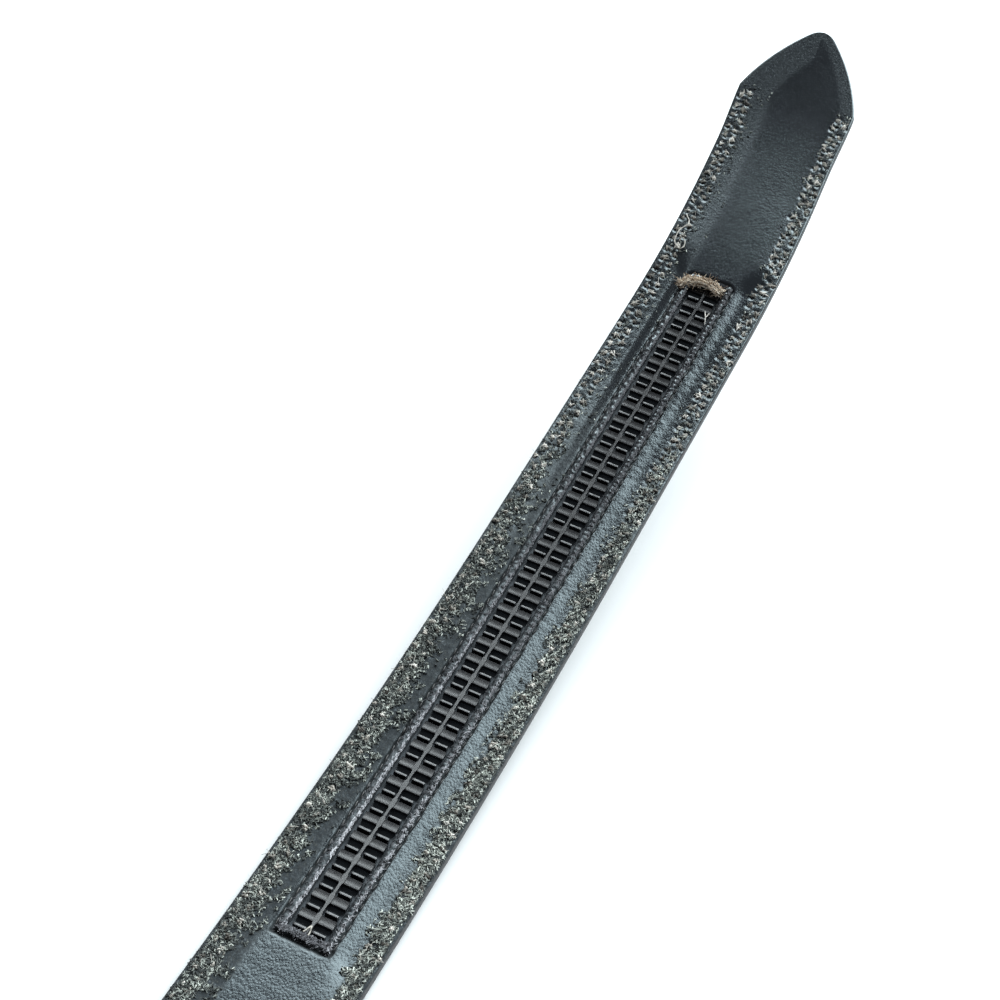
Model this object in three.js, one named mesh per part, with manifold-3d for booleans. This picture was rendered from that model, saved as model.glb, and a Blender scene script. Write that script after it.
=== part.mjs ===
// A ratchet belt lying back side up: a two-layer leather strap with a pointed tip, a toothed
// plastic track behind a window in the back lining of its tail, and a plain ratchet buckle.
// Millimetres, +Z up, +X along the strap from the buckle to the tip, origin under the middle.
import * as THREE from "three";
import { mergeVertices } from "three/addons/utils/BufferGeometryUtils.js";
import Module from "manifold-3d";

const wasm = await Module();
wasm.setup();

// Strap
const strapLength = 1150;
const strapWidth = 35;
const frontThickness = 1.5;
const liningThickness = 1.5;
const layerGap = 0.2;
const edgeRound = 0.5;

// Pointed tip
const tipLength = 30.5;
const tipFlare = 0.7;
const tipFlareRun = 25;
const tipPointRadius = 5;
const tipShoulderAngle = 14;
const tipPointAngle = 36.5;

// Ratchet track
const toothCount = 39;
const toothPitch = 6.1;
const toothWidth = 3.1;
const toothCrest = 0.7;
const toothHeight = 1.3;
const toothSlope = 0.45;
const pocketLength = 2.4;
const pocketDepth = 0.45;
const landLength = 2.35;
const landHeight = 0.8;
const ribWidth = 0.8;
const ribHeight = 1.1;
const trackBaseWidth = 12.6;
const trackBaseThickness = 0.8;
const trackBaseOverrun = 4;
const trackOffCentre = 0.35;
const lastToothToTip = 119.4;

// Window in the lining
const windowWidth = 9.7;
const windowMargin = 1.45;
const windowFarMargin = 6.8;
const windowClearance = 0.65;

// Raised middle of the lining, over the track's base strip
const raisedSideMargin = 0.4;
const raisedEndMargin = 0.6;
const raisedFlank = 4.6;
const raisedRun = 55;

// Way the strap lies: down from the buckle, flat, then the tail's curl
const levelRun = 20;
const descentAngle = 6.5;
const curledTail = 371;
const curl = [
  { share: 0.43, rise: 10, turn: 0 },
  { share: 0.22, rise: 3.7, turn: -1 },
  { share: 0.16, rise: 2.7, turn: 4.4 },
  { share: 0.19, rise: 3.3, turn: 2 },
];

// Buckle
const buckleLength = 44;
const buckleWall = 2.6;
const buckleCorner = 5;
const facePlate = 2.2;
const channelHeight = 4.8;
const channelSideClearance = 0.9;
const jawThickness = 1.1;
const clampDepth = 18;
const clampBack = 3;
const clampClearance = 0.3;
const pawlBlockHeight = 2.6;

// Fineness of the mesh
const bendStep = 7;
const flareSteps = 3;
const arcSteps = 6;

const degrees = Math.PI / 180;
const leatherTop = frontThickness + layerGap + liningThickness;
const trackBottom = frontThickness + layerGap;
const trackFloor = trackBottom + trackBaseThickness;
const trackMiddle = -trackOffCentre;
const raise = trackBaseThickness + layerGap;
const strapRestHeight = facePlate + channelHeight + jawThickness + clampClearance;

const lastTooth = strapLength - lastToothToTip;
const firstTooth = lastTooth - (toothCount - 1) * toothPitch;
const windowStart = firstTooth - windowMargin;
const windowEnd = lastTooth + windowFarMargin;
const raisedHalf = trackBaseWidth / 2 + raisedSideMargin;
const raisedLead = trackBaseOverrun + raisedEndMargin;

// The way the strap lies. Each stretch rises and turns by its angles over its length.
const descentArc = (strapRestHeight * descentAngle * degrees) / (2 * (1 - Math.cos(descentAngle * degrees)));
const levelStart = clampDepth + levelRun;
const flatStart = levelStart + 2 * descentArc;
const stretches = [
  { length: levelStart, rise: 0, turn: 0 },
  { length: descentArc, rise: -descentAngle, turn: 0 },
  { length: descentArc, rise: descentAngle, turn: 0 },
  { length: strapLength - curledTail - flatStart, rise: 0, turn: 0 },
  ...curl.map((row) => ({ length: row.share * curledTail, rise: row.rise, turn: row.turn })),
];

function heading(rise, turn) {
  return new THREE.Vector3(
    Math.cos(rise) * Math.cos(turn),
    Math.cos(rise) * Math.sin(turn),
    Math.sin(rise),
  );
}

function layRoute() {
  const rows = [];
  const position = new THREE.Vector3(0, 0, strapRestHeight);
  let along = 0;
  let rise = 0;
  let turn = 0;
  for (const stretch of stretches) {
    const steps = Math.ceil(stretch.length);
    const step = stretch.length / steps;
    const riseStep = (stretch.rise * degrees) / steps;
    const turnStep = (stretch.turn * degrees) / steps;
    for (let i = 0; i < steps; i++) {
      rows.push({ along, position: position.clone(), rise, turn });
      position.addScaledVector(heading(rise + riseStep / 2, turn + turnStep / 2), step);
      along += step;
      rise += riseStep;
      turn += turnStep;
    }
  }
  rows.push({ along, position: position.clone(), rise, turn });
  return rows;
}
const route = layRoute();

// A point of the strap: along it from the buckle end, across it to the left, up from its front face.
function place(along, across, up) {
  let i = 0;
  let last = route.length - 2;
  while (i < last) {
    const middle = Math.ceil((i + last) / 2);
    if (route[middle].along <= along) i = middle;
    else last = middle - 1;
  }
  const from = route[i];
  const to = route[i + 1];
  const share = (along - from.along) / (to.along - from.along);
  const rise = THREE.MathUtils.lerp(from.rise, to.rise, share);
  const turn = THREE.MathUtils.lerp(from.turn, to.turn, share);
  const leftward = new THREE.Vector3(-Math.sin(turn), Math.cos(turn), 0);
  const upward = heading(rise, turn).cross(leftward);
  return new THREE.Vector3()
    .lerpVectors(from.position, to.position, share)
    .addScaledVector(leftward, across)
    .addScaledVector(upward, up);
}

// Half the strap's width: even, flared a little before the shoulders, then two arcs to the point.
const shoulder = strapLength - tipLength;
const shoulderHalf = strapWidth / 2 + tipFlare;

function tipStations() {
  const open = tipShoulderAngle * degrees;
  const close = tipPointAngle * degrees;
  const pointHalf = tipPointRadius * Math.cos(close);
  const sideRadius = (shoulderHalf - pointHalf) / (Math.cos(open) - Math.cos(close));
  const sideRun = sideRadius * (Math.sin(close) - Math.sin(open));
  const pointRun = tipPointRadius * (1 - Math.sin(close));
  const scale = tipLength / (sideRun + pointRun);
  const rows = [];
  for (let i = 0; i <= arcSteps; i++) {
    const angle = THREE.MathUtils.lerp(open, close, i / arcSteps);
    rows.push({
      along: shoulder + scale * sideRadius * (Math.sin(angle) - Math.sin(open)),
      half: shoulderHalf - sideRadius * (Math.cos(open) - Math.cos(angle)),
    });
  }
  for (let i = 1; i < arcSteps; i++) {
    const angle = THREE.MathUtils.lerp(close, Math.PI / 2, i / arcSteps);
    rows.push({
      along: shoulder + scale * (sideRun + tipPointRadius * (Math.sin(angle) - Math.sin(close))),
      half: tipPointRadius * Math.cos(angle),
    });
  }
  rows.push({ along: strapLength, half: tipPointRadius * Math.cos(Math.PI / 2 - 0.15) });
  return rows;
}
const tipRows = tipStations();

function halfWidth(along) {
  if (along <= shoulder) {
    const share = THREE.MathUtils.smoothstep(along, shoulder - tipFlareRun, shoulder);
    return strapWidth / 2 + tipFlare * share;
  }
  const next = tipRows.findIndex((row) => row.along >= along - 1e-6);
  const to = tipRows[next];
  const from = tipRows[Math.max(0, next - 1)];
  const span = to.along - from.along;
  return span ? THREE.MathUtils.lerp(from.half, to.half, (along - from.along) / span) : to.half;
}

// How far the lining is raised at a place, as a share of its full height.
function raisedShare(along, across) {
  const lengthways =
    THREE.MathUtils.smoothstep(along, windowStart - raisedLead - raisedRun, windowStart - raisedLead) *
    (1 - THREE.MathUtils.smoothstep(along, windowEnd + raisedLead, windowEnd + raisedLead + raisedRun));
  const aside = Math.abs(across - trackMiddle);
  const sideways = 1 - THREE.MathUtils.smoothstep(aside, raisedHalf, raisedHalf + raisedFlank);
  return lengthways * sideways;
}

// Places along the strap at which its section is drawn: the ends of its bends, and steps inside them.
function stationsBetween(start, end, extra = []) {
  const marks = [start, end, ...extra];
  let along = 0;
  for (const stretch of stretches) {
    const bent = stretch.rise !== 0 || stretch.turn !== 0;
    const steps = bent ? Math.ceil(stretch.length / bendStep) : 1;
    for (let i = 0; i <= steps; i++) marks.push(along + (stretch.length * i) / steps);
    along += stretch.length;
  }
  const inside = marks.filter((mark) => mark >= start - 1e-6 && mark <= end + 1e-6).sort((a, b) => a - b);
  return inside.filter((mark, i) => i === 0 || mark - inside[i - 1] > 0.05);
}

// A closed mesh as a solid that can be joined and cut, and back.
function solidOf(geometry) {
  const bare = geometry.clone();
  bare.deleteAttribute("normal");
  bare.deleteAttribute("uv");
  const merged = mergeVertices(bare, 1e-4);
  return new wasm.Manifold(
    new wasm.Mesh({
      numProp: 3,
      vertProperties: new Float32Array(merged.attributes.position.array),
      triVerts: new Uint32Array(merged.index.array),
    }),
  );
}

function geometryOf(solid) {
  const mesh = solid.getMesh();
  const geometry = new THREE.BufferGeometry();
  geometry.setAttribute("position", new THREE.BufferAttribute(mesh.vertProperties, 3));
  geometry.setIndex(new THREE.BufferAttribute(mesh.triVerts, 1));
  geometry.computeVertexNormals();
  return geometry;
}

// Carries a section, drawn across and up, along the strap. form moves its points at each station.
function carried(outline, stations, form = (across, up) => [across, up]) {
  const runs = stations.length - 1;
  const geometry = new THREE.ExtrudeGeometry(new THREE.Shape(outline), {
    depth: runs,
    steps: runs,
    bevelEnabled: false,
  });
  const points = geometry.attributes.position;
  for (let i = 0; i < points.count; i++) {
    const along = stations[Math.round(points.getZ(i))];
    const [across, up] = form(points.getX(i), points.getY(i), along);
    points.setXYZ(i, ...place(along, across, up).toArray());
  }
  return geometry;
}

// A bar across the strap: its side, drawn along and up, from one side of the strap to the other.
function crossBar(side, along, acrossFrom, acrossTo) {
  const outline = side.map(([x, y]) => new THREE.Vector2(x, y));
  const geometry = new THREE.ExtrudeGeometry(new THREE.Shape(outline), {
    depth: acrossTo - acrossFrom,
    bevelEnabled: false,
  });
  const points = geometry.attributes.position;
  for (let i = 0; i < points.count; i++) {
    const at = place(along + points.getX(i), acrossTo - points.getZ(i), points.getY(i));
    points.setXYZ(i, ...at.toArray());
  }
  return geometry;
}

function section(points, middle = 0) {
  return points.map(([across, up]) => new THREE.Vector2(middle + across, up));
}

function rectangle(halfAcross, low, high) {
  return [
    [-halfAcross, low],
    [halfAcross, low],
    [halfAcross, high],
    [-halfAcross, high],
  ];
}

// The strap's layers are drawn at full width, and their sections narrow towards the tip.
const half = strapWidth / 2;
const strapStations = stationsBetween(0, strapLength, [
  ...Array.from({ length: flareSteps }, (_, i) => shoulder - (tipFlareRun * (i + 1)) / flareSteps),
  ...tipRows.map((row) => row.along),
]);
const narrowed = (across, along) => (across * halfWidth(along)) / half;

function frontLeather() {
  const outline = section([
    [-half + edgeRound, 0],
    [half - edgeRound, 0],
    [half, edgeRound],
    [half, frontThickness],
    [-half, frontThickness],
    [-half, edgeRound],
  ]);
  return carried(outline, strapStations, (across, up, along) => [narrowed(across, along), up]);
}

function backLining() {
  const low = trackBottom;
  const high = leatherTop;
  const knees = [1, 0.67, 0.33, 0].map((share) => raisedHalf + raisedFlank * share);
  const flanks = [...knees.map((y) => trackMiddle - y), ...knees.reverse().map((y) => trackMiddle + y)];
  const outline = section([
    [-half, low],
    ...flanks.map((y) => [y, low]),
    [half, low],
    [half, high - edgeRound],
    [half - edgeRound, high],
    ...flanks.reverse().map((y) => [y, high]),
    [-half + edgeRound, high],
    [-half, high - edgeRound],
  ]);
  const ends = [windowStart - raisedLead, windowEnd + raisedLead + raisedRun];
  const ramps = ends.flatMap((end) => [0, 0.25, 0.5, 0.75, 1].map((share) => end - raisedRun * share));
  const stations = stationsBetween(0, strapLength, [...strapStations, ...ramps]);
  const lining = carried(outline, stations, (across, up, along) => [
    narrowed(across, along),
    up + raise * raisedShare(along, across),
  ]);
  const opening = carried(
    section(rectangle(windowWidth / 2, low - 1, high + raise + 1), trackMiddle),
    stationsBetween(windowStart, windowEnd),
  );
  return geometryOf(solidOf(lining).subtract(solidOf(opening)));
}

// The track: a base strip between the leathers with a sunk floor, the centre rib, lands across it,
// and the teeth, which stand upright towards the buckle.
function ratchetTrack() {
  const pocketFloor = trackFloor - pocketDepth;
  const root = (trackBottom + pocketFloor) / 2;
  const baseHalf = trackBaseWidth / 2;
  const rowHalf = windowWidth / 2 - windowClearance;
  const crestHalf = toothCrest / 2;
  const landFrom = crestHalf + pocketLength;
  const baseStations = stationsBetween(windowStart - trackBaseOverrun, windowEnd + trackBaseOverrun);
  const ribStations = stationsBetween(windowStart + windowClearance, windowEnd - windowClearance);
  const base = [
    [-baseHalf, trackBottom],
    [baseHalf, trackBottom],
    [baseHalf, trackFloor],
    [windowWidth / 2, trackFloor],
    [windowWidth / 2, pocketFloor],
    [-windowWidth / 2, pocketFloor],
    [-windowWidth / 2, trackFloor],
    [-baseHalf, trackFloor],
  ];
  const rib = rectangle(ribWidth / 2, root, trackFloor + ribHeight);
  const tooth = [
    [-crestHalf, root],
    [crestHalf + toothSlope, root],
    [crestHalf, trackFloor + toothHeight],
    [-crestHalf, trackFloor + toothHeight],
  ];
  const land = [
    [landFrom, root],
    [landFrom + landLength, root],
    [landFrom + landLength, trackFloor + landHeight],
    [landFrom, trackFloor + landHeight],
  ];
  const columnCentre = (ribWidth / 2 + rowHalf) / 2;
  let track = solidOf(carried(section(base, trackMiddle), baseStations));
  track = track.add(solidOf(carried(section(rib, trackMiddle), ribStations)));
  for (let i = 0; i < toothCount; i++) {
    const along = firstTooth + i * toothPitch;
    track = track.add(solidOf(crossBar(land, along, trackMiddle - rowHalf, trackMiddle + rowHalf)));
    for (const side of [-1, 1]) {
      const centre = trackMiddle + side * columnCentre;
      track = track.add(solidOf(crossBar(tooth, along, centre - toothWidth / 2, centre + toothWidth / 2)));
    }
  }
  return geometryOf(track);
}

// The buckle: a face plate, a channel over it for the tail, and a clamp over that for the strap's end.
const channelHalf = half + channelSideClearance;
const buckleHalf = channelHalf + buckleWall;
const slotFloor = strapRestHeight - clampClearance;
const slotRoof = strapRestHeight + leatherTop + clampClearance;
const buckleHeight = slotRoof + jawThickness;

function roundedPlate(xFrom, xTo, halfAcross, corner) {
  const plate = new THREE.Shape();
  plate.moveTo(xFrom + corner, -halfAcross);
  plate.lineTo(xTo - corner, -halfAcross);
  plate.absarc(xTo - corner, -halfAcross + corner, corner, -Math.PI / 2, 0);
  plate.lineTo(xTo, halfAcross - corner);
  plate.absarc(xTo - corner, halfAcross - corner, corner, 0, Math.PI / 2);
  plate.lineTo(xFrom + corner, halfAcross);
  plate.absarc(xFrom + corner, halfAcross - corner, corner, Math.PI / 2, Math.PI);
  plate.lineTo(xFrom, -halfAcross + corner);
  plate.absarc(xFrom + corner, -halfAcross + corner, corner, Math.PI, 1.5 * Math.PI);
  return plate;
}

function box(xFrom, xTo, halfAcross, low, high) {
  const geometry = new THREE.BoxGeometry(xTo - xFrom, 2 * halfAcross, high - low);
  return geometry.translate((xFrom + xTo) / 2, 0, (low + high) / 2);
}

function buckle() {
  const xFrom = clampDepth - buckleLength;
  const beyond = 5;
  const outer = new THREE.ExtrudeGeometry(roundedPlate(xFrom, clampDepth, buckleHalf, buckleCorner), {
    depth: buckleHeight,
    bevelEnabled: false,
    curveSegments: arcSteps,
  });
  const channel = box(xFrom - beyond, clampDepth + beyond, channelHalf, facePlate, slotFloor - jawThickness);
  const slot = box(-clampClearance, clampDepth + beyond, half + clampClearance, slotFloor, slotRoof);
  const blockTop = slotFloor - jawThickness + pawlBlockHeight;
  const step = box(xFrom - beyond, -clampBack, buckleHalf + beyond, blockTop, buckleHeight + beyond);
  return geometryOf(solidOf(outer).subtract(solidOf(channel)).subtract(solidOf(slot)).subtract(solidOf(step)));
}

const materials = {
  front_leather: new THREE.MeshStandardMaterial({ color: 0x16171a, roughness: 0.45, metalness: 0 }),
  back_lining: new THREE.MeshStandardMaterial({ color: 0x2a2d31, roughness: 0.55, metalness: 0 }),
  ratchet_track: new THREE.MeshStandardMaterial({ color: 0x101013, roughness: 0.3, metalness: 0 }),
  buckle: new THREE.MeshStandardMaterial({ color: 0x8c8e92, roughness: 0.3, metalness: 1 }),
};
const shapes = {
  front_leather: frontLeather(),
  back_lining: backLining(),
  ratchet_track: ratchetTrack(),
  buckle: buckle(),
};

const belt = new THREE.Group();
for (const [name, geometry] of Object.entries(shapes)) {
  const mesh = new THREE.Mesh(geometry, materials[name]);
  mesh.name = name;
  belt.add(mesh);
}

// The origin lies under the middle of the belt, on the surface it rests on.
const bounds = new THREE.Box3().setFromObject(belt);
const middle = bounds.getCenter(new THREE.Vector3());
belt.position.set(-middle.x, -middle.y, -bounds.min.z);

export default belt;
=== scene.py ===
# %% [markdown]
# # A ratchet belt, lying back side up
#
# A ratchet belt has no punched holes. Behind a long window in the lining of its tail sits a moulded
# plastic track with rows of small teeth, and a spring pawl in the buckle catches them one by one.
# This lesson dresses the plain solids of such a belt with leather, plastic, thread and metal.
#
# The first cell loads those solids as a fixed frame. Everything after it is built in the same place
# and at the same size, in metres, so nothing has to be fitted afterwards.

import math

import bpy
import numpy as np
from mathutils import Matrix, Vector


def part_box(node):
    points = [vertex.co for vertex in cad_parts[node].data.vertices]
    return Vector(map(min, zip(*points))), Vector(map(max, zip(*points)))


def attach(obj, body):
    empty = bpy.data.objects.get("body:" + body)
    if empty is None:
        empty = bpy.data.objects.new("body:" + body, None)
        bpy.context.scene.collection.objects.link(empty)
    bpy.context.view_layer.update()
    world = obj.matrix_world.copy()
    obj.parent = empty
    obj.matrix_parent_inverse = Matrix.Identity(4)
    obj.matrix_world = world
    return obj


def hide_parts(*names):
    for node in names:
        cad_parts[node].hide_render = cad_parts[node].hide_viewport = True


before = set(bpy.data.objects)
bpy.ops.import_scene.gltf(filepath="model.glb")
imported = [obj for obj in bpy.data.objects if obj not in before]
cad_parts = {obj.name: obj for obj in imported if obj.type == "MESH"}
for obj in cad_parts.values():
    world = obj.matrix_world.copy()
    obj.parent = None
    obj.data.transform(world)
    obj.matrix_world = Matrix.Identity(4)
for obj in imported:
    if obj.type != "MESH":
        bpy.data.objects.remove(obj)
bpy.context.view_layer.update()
mm = 0.001
chance = np.random.default_rng(1961)
print("pieces in the frame:", sorted(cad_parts))

# %% [markdown]
# ## The way the strap lies
#
# Leather is stiff along its length, so a strap bends in long easy arcs. This one comes down from the
# buckle, lies flat, and its tail curls up and a little to the left, as belts do after some wear.
# A curve object could carry the strap, but then each detail would need its own modifier. Instead one
# function, place(), turns strap measures (along, across, up) into points in space, and every piece
# is drawn as if the strap were flat.

# %% Strap sizes and its route
strap_length = 1150 * mm
strap_half = 17.5 * mm
leather_top = 3.2 * mm
rest_height = 8.4 * mm
level_start = 38 * mm
descent_angle = 6.5
curled_tail = 371 * mm


def table(columns, *rows):
    """A short table with named columns: one dictionary for each row."""
    return [dict(zip(columns.split(), row)) for row in rows]


tail_curl = table(
    "share rise turn",
    (0.43, 10, 0),
    (0.22, 3.7, -1),
    (0.16, 2.7, 4.4),
    (0.19, 3.3, 2),
)
descent_bow = 2 - 2 * math.cos(math.radians(descent_angle))
descent_arc = rest_height * math.radians(descent_angle) / descent_bow
flat_stretch = strap_length - curled_tail - level_start - 2 * descent_arc
stretches = table(
    "length rise turn",
    (level_start, 0, 0),
    (descent_arc, -descent_angle, 0),
    (descent_arc, descent_angle, 0),
    (flat_stretch, 0, 0),
    *((row["share"] * curled_tail, row["rise"], row["turn"]) for row in tail_curl),
)


def heading(rise, turn):
    """The way the strap runs where it rises and turns by these angles."""
    return np.stack([np.cos(rise) * np.cos(turn), np.cos(rise) * np.sin(turn), np.sin(rise)], -1)


def lay_route():
    """Rows of (distance along, x, y, z, rise, turn), about a millimetre apart."""
    buckle_low, buckle_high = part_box("buckle")
    strap_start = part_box("front_leather")[0].x
    position = np.array([strap_start, (buckle_low.y + buckle_high.y) / 2, rest_height])
    along, rise, turn = 0.0, 0.0, 0.0
    rows = [[along, *position, rise, turn]]
    for stretch in stretches:
        steps = math.ceil(stretch["length"] / mm)
        step = stretch["length"] / steps
        rise_step = math.radians(stretch["rise"]) / steps
        turn_step = math.radians(stretch["turn"]) / steps
        for _ in range(steps):
            position = position + heading(rise + rise_step / 2, turn + turn_step / 2) * step
            along, rise, turn = along + step, rise + rise_step, turn + turn_step
            rows.append([along, *position, rise, turn])
    return np.array(rows)


route = lay_route()


def place(along, across, up):
    """Strap measures to points: along from the buckle, across to the left, up out of the back."""
    along, across, up = np.broadcast_arrays(along, across, up)
    row = [np.interp(along, route[:, 0], route[:, i]) for i in range(1, 6)]
    centre = np.stack(row[:3], -1)
    leftward = np.stack([-np.sin(row[4]), np.cos(row[4]), np.zeros_like(along)], -1)
    upward = np.cross(heading(row[3], row[4]), leftward)
    beyond = (along - np.clip(along, 0, strap_length))[..., None] * heading(row[3], row[4])
    return centre + beyond + across[..., None] * leftward + up[..., None] * upward


tip_point = place(strap_length, 0, 0)
print("the tip's front face is", round(tip_point[2] / mm, 1), "mm above the floor")

# %% [markdown]
# ## The camera
#
# The belt is seen from above its hidden stretch, looking along the tail, with the tip in the upper
# right corner. The camera is placed by where it stands and what it looks at, and then turned about
# its own axis until the strap crosses the picture as steeply as it should.

# %% Camera
eye = Vector((-28.18, -104.21, 365.17)) * mm
look_direction = Vector((0.74099, 0.22275, -0.63349))
picture_right = Vector((0.40082, -0.90361, 0.15111))
focal_length = 76.49
sensor_width = 36

def add_object(name, data):
    """A new object in the scene, made from its data."""
    added = bpy.data.objects.new(name, data)
    bpy.context.scene.collection.objects.link(added)
    return added


camera_data = bpy.data.cameras.new("belt_camera")
camera_data.lens = focal_length
camera_data.sensor_width = sensor_width
camera_data.clip_start = 5 * mm
camera = add_object("belt_camera", camera_data)
picture_up = picture_right.cross(look_direction).normalized()
turned = Matrix((picture_right, picture_up, -look_direction)).transposed().to_4x4()
camera.matrix_world = Matrix.Translation(eye) @ turned
bpy.context.scene.camera = camera
print("camera height above the floor:", round(eye.z, 3), "m")

# %% [markdown]
# ## Light and floor
#
# Black leather shows almost nothing of its own colour: what the eye reads is the reflection of a
# bright window, broken up by the grain. So the main light is one large soft panel past the tip, low
# enough that the near half of the strap mirrors it and the tip does not. A dim even sky fills the
# rest, and a pale floor carries the belt.

# %% Window light and sky
window_azimuth = math.radians(-6)
window_low = math.radians(6)
window_high = math.radians(56.5)
window_distance = 4.0
window_width = 5.0
window_radiance = 11.0
window_colour = (0.88, 0.97, 1.0)
lit_point = Vector((0.35, 0, 0))
sky_colour = (0.93, 0.96, 1.0)
sky_strength = 0.17


def add_window_light():
    """A rectangular light that reaches between two heights in the sky, seen from under the tail."""
    middle = (window_low + window_high) / 2
    height = 2 * window_distance * math.tan((window_high - window_low) / 2)
    level = math.cos(middle)
    skyward = Vector((
        level * math.cos(window_azimuth), level * math.sin(window_azimuth), math.sin(middle)))
    panel = bpy.data.lights.new("window_light", "AREA")
    panel.shape = "RECTANGLE"
    panel.size = window_width
    panel.size_y = height
    panel.energy = window_radiance * window_width * height * math.pi
    panel.color = window_colour
    lamp = add_object("window_light", panel)
    lamp.location = lit_point + skyward * window_distance
    lamp.rotation_euler = skyward.to_track_quat("Z", "Y").to_euler()
    print("window light:", window_width, "by", round(height, 2), "m")


add_window_light()
world = bpy.data.worlds.new("even_sky")
world.use_nodes = True
sky = world.node_tree.nodes["Background"]
sky.inputs["Color"].default_value = (*sky_colour, 1)
sky.inputs["Strength"].default_value = sky_strength
bpy.context.scene.world = world
bpy.context.scene.view_settings.view_transform = "Standard"

# %% [markdown]
# ## Shader sums as plain Python
#
# A finish is arithmetic: grain times a mask, plus a little noise. Wired by hand that takes dozens of
# nodes, so a Wire stands for one socket here, and writing grain * 0.4 + mask adds the Math nodes.
# Any other node comes from Finish.add(), which sets the node up and then feeds its sockets.


# %% Finish
class Finish:
    """One material with a Principled shader, whose even values are set when it is made."""

    def __init__(self, name, **even):
        self.material = bpy.data.materials.new(name)
        self.material.use_nodes = True
        self.nodes = self.material.node_tree.nodes
        self.links = self.material.node_tree.links
        self.shader = self.nodes["Principled BSDF"]
        self.surface(**even)

    def feed(self, socket, value):
        """Links a wire to a socket, or sets the socket to a plain value."""
        if isinstance(value, Wire):
            self.links.new(value.socket, socket)
        else:
            socket.default_value = value

    def surface(self, **values):
        """Sets or feeds the shader's own sockets."""
        for socket, value in values.items():
            self.feed(self.shader.inputs[socket.replace("_", " ")], value)

    def add(self, kind, settings=None, sockets=None, output=0):
        """A new node of this kind, its settings first, then the values or links of its sockets."""
        node = self.nodes.new("ShaderNode" + kind)
        for key, value in (settings or {}).items():
            setattr(node, key, value)
        for key, value in (sockets or {}).items():
            self.feed(node.inputs[key], value)
        return Wire(self, node.outputs[output])

    def ramp(self, tone, stops):
        """A colour that changes with a tone, by rows of (position, colour)."""
        node = self.nodes.new("ShaderNodeValToRGB")
        elements = node.color_ramp.elements
        while len(elements) < len(stops):
            elements.new(1)
        for element, (position, colour) in zip(elements, stops):
            element.position, element.color = position, (*colour, 1)
        self.feed(node.inputs["Fac"], tone)
        return Wire(self, node.outputs[0])

    def attribute(self, name):
        """A number kept at each vertex of the mesh."""
        return self.add("Attribute", {"attribute_name": name}, output="Fac")

    def strap_grid(self, stretch=1.0):
        """Strap measures as a vector, so that a pattern can be drawn out along the strap."""
        along, across, up = (self.attribute(name) for name in ("along", "across", "up"))
        return self.add("CombineXYZ", sockets={"X": along / stretch, "Y": across, "Z": up})

    def noise(self, cell, vector, detail=2.0, roughness=0.5):
        """Smooth noise whose lumps are about one cell wide, in metres."""
        values = {"Vector": vector, "Scale": 1 / cell, "Detail": detail, "Roughness": roughness}
        return self.add("TexNoise", sockets=values)

    def pebbles(self, cell, vector, smoothness):
        """Distance to the nearest of many scattered points: high between pebbles, low on them."""
        values = {"Vector": vector, "Scale": 1 / cell, "Smoothness": smoothness}
        return self.add("TexVoronoi", {"feature": "SMOOTH_F1"}, values)

    def blend(self, share, first, second):
        """A colour between two colours or wires."""
        values = {"Factor": share, 6: as_colour(first), 7: as_colour(second)}
        return self.add("Mix", {"data_type": "RGBA"}, values, output=2)

    def coat(self, colour, roughness, height, depth):
        """A colour, a roughness, and bumps this deep in metres where the height is 1."""
        bumps = self.add("Bump", sockets={"Height": height, "Distance": depth, "Strength": 1.0})
        self.surface(Base_Color=colour, Roughness=roughness, Normal=bumps)
        return self.material


# %% Wire
def worked(operation, swapped=False):
    """A Python operator that adds one Math node to a finish."""
    def operator(wire, other):
        first, second = (other, wire) if swapped else (wire, other)
        return wire.finish.add("Math", {"operation": operation}, {0: first, 1: second})
    return operator


class Wire:
    """One socket's value, which can be added, multiplied and so on."""

    __add__ = __radd__ = worked("ADD")
    __sub__ = worked("SUBTRACT")
    __rsub__ = worked("SUBTRACT", swapped=True)
    __mul__ = __rmul__ = worked("MULTIPLY")
    __truediv__ = worked("DIVIDE")

    def __init__(self, finish, socket):
        self.finish = finish
        self.socket = socket

    def step(self, low, high):
        """0 below low, 1 above high, and smooth between them."""
        values = {"Value": self, "From Min": low, "From Max": high}
        return self.finish.add("MapRange", {"interpolation_type": "SMOOTHSTEP"}, values)


def as_colour(value):
    """A plain colour with its fourth number, or a wire as it is."""
    return value if isinstance(value, Wire) else (*value, 1)


# %% [markdown]
# ## The floor
#
# The belt lies on a pale even table. A large square with a matt finish, hardly mottled, is enough:
# it throws light back under the raised tail.

# %% Floor
floor_half = 3.0
floor_pale = (0.9, 0.9, 0.9)
floor_mottled = (0.89, 0.89, 0.89)


def floor_finish():
    finish = Finish("pale_floor", Roughness=0.9, Specular_IOR_Level=0.2)
    mottle = finish.noise(0.25, finish.add("TexCoord", output="Object"))
    finish.surface(Base_Color=finish.blend(mottle, floor_pale, floor_mottled))
    return finish.material


floor_mesh = bpy.data.meshes.new("floor")
signs = ((-1, -1), (1, -1), (1, 1), (-1, 1))
corners = [(x * floor_half, y * floor_half, 0) for x, y in signs]
floor_mesh.from_pydata(corners, [], [(0, 1, 2, 3)])
floor_mesh.materials.append(floor_finish())
add_object("floor", floor_mesh)
print("the floor is", 2 * floor_half, "m square")

# %% [markdown]
# ## From arrays to meshes
#
# A stitch, a tooth and a strip of edge paint are all the same thing to a mesh: rings of points with
# quads between them and a cap at each end. A Heap collects many such lofts in strap measures and
# writes them as one mesh at the end, with a few numbers kept at each vertex for the shader to read.


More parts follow.
